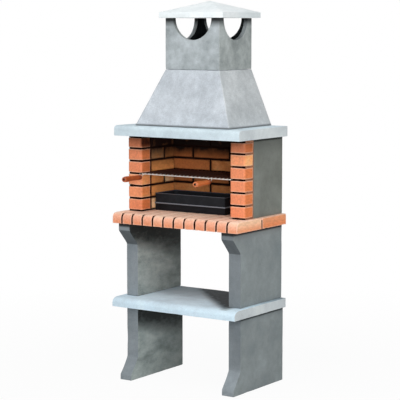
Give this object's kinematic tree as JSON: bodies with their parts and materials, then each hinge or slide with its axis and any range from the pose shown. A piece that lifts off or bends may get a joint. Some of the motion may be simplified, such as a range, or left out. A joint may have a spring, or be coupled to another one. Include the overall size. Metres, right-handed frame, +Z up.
{
  "type": "outdoor masonry barbecue",
  "caption": "Free-standing masonry barbecue: slab legs with storage below, brick ledge and firebox, sliding wire grill, ash pan with charcoal tray, hood and chimney.",
  "frame": {"origin": "on the floor, below the middle of the bounding box", "axes": "+Z up; the cook stands on the -Y side; +X to the cook's right"},
  "size_m": [0.76, 0.5568, 1.9453],
  "materials": {
    "concrete_leg": "rough cast concrete, mid grey",
    "concrete_slab": "cast concrete, light blue-grey",
    "concrete_panel": "cast concrete, warm dark grey",
    "concrete_hood": "cast concrete, speckled light grey",
    "concrete_stack": "cast concrete, grey",
    "concrete_cap": "cast concrete, near white",
    "brick_ledge": "fired brick, pink salmon",
    "brick_pillar": "fired brick, salmon orange",
    "brick_lining": "fired brick, in shade",
    "mortar": "raked brown mortar",
    "zinc_wire": "bright zinc plate",
    "varnished_wood": "orange varnished turned wood",
    "black_steel": "black enamelled sheet steel"
  },
  "bodies": {
    "masonry": {"left_lower_leg": "concrete_leg", "right_lower_leg": "concrete_leg", "left_upper_leg": "concrete_leg", "right_upper_leg": "concrete_leg", "shelf_slab": "concrete_slab", "lintel_slab": "concrete_slab", "left_wall_panel": "concrete_panel", "right_wall_panel": "concrete_panel", "back_wall_panel": "concrete_panel", "hood": "concrete_hood", "chimney_stack": "concrete_stack", "chimney_cap": "concrete_cap", "nosing_brick_01": "brick_ledge", "nosing_brick_02": "brick_ledge", "nosing_brick_03": "brick_ledge", "nosing_brick_04": "brick_ledge", "nosing_brick_05": "brick_ledge", "nosing_brick_06": "brick_ledge", "nosing_brick_07": "brick_ledge", "nosing_brick_08": "brick_ledge", "nosing_brick_09": "brick_ledge", "nosing_brick_10": "brick_ledge", "nosing_brick_11": "brick_ledge", "nosing_brick_12": "brick_ledge", "ledge_brick_01": "brick_ledge", "ledge_brick_02": "brick_ledge", "ledge_brick_03": "brick_ledge", "ledge_brick_04": "brick_ledge", "ledge_brick_05": "brick_ledge", "ledge_brick_06": "brick_ledge", "ledge_brick_07": "brick_ledge", "ledge_brick_08": "brick_ledge", "ledge_brick_09": "brick_ledge", "ledge_brick_10": "brick_ledge", "ledge_brick_11": "brick_ledge", "ledge_brick_12": "brick_ledge", "ledge_mortar": "mortar", "left_pillar_brick_1": "brick_pillar", "left_pillar_brick_2": "brick_pillar", "left_pillar_brick_3": "brick_pillar", "left_pillar_brick_4": "brick_pillar", "left_pillar_brick_5": "brick_pillar", "left_pillar_brick_6": "brick_pillar", "right_pillar_brick_1": "brick_pillar", "right_pillar_brick_2": "brick_pillar", "right_pillar_brick_3": "brick_pillar", "right_pillar_brick_4": "brick_pillar", "right_pillar_brick_5": "brick_pillar", "right_pillar_brick_6": "brick_pillar", "left_pillar_mortar": "mortar", "right_pillar_mortar": "mortar", "left_side_lining": "brick_lining", "right_side_lining": "brick_lining", "back_lining": "brick_lining"},
    "grill": {"grill_grid": "zinc_wire", "left_handle": "varnished_wood", "right_handle": "varnished_wood"},
    "ash_pan": {"ash_pan": "black_steel"},
    "charcoal_tray": {"charcoal_tray": "black_steel"}
  },
  "joints": [
    {"name": "grill_slide", "type": "slide", "parent": "masonry", "child": "grill", "axis": [0, -1, 0], "range_m": [0, 0.255]},
    {"name": "ash_pan_slide", "type": "slide", "parent": "masonry", "child": "ash_pan", "axis": [0, -1, 0], "range_m": [0, 0.2]},
    {"name": "charcoal_tray_lift", "type": "slide", "parent": "ash_pan", "child": "charcoal_tray", "axis": [0, 0, 1], "range_m": [0, 0.06]}
  ]
}
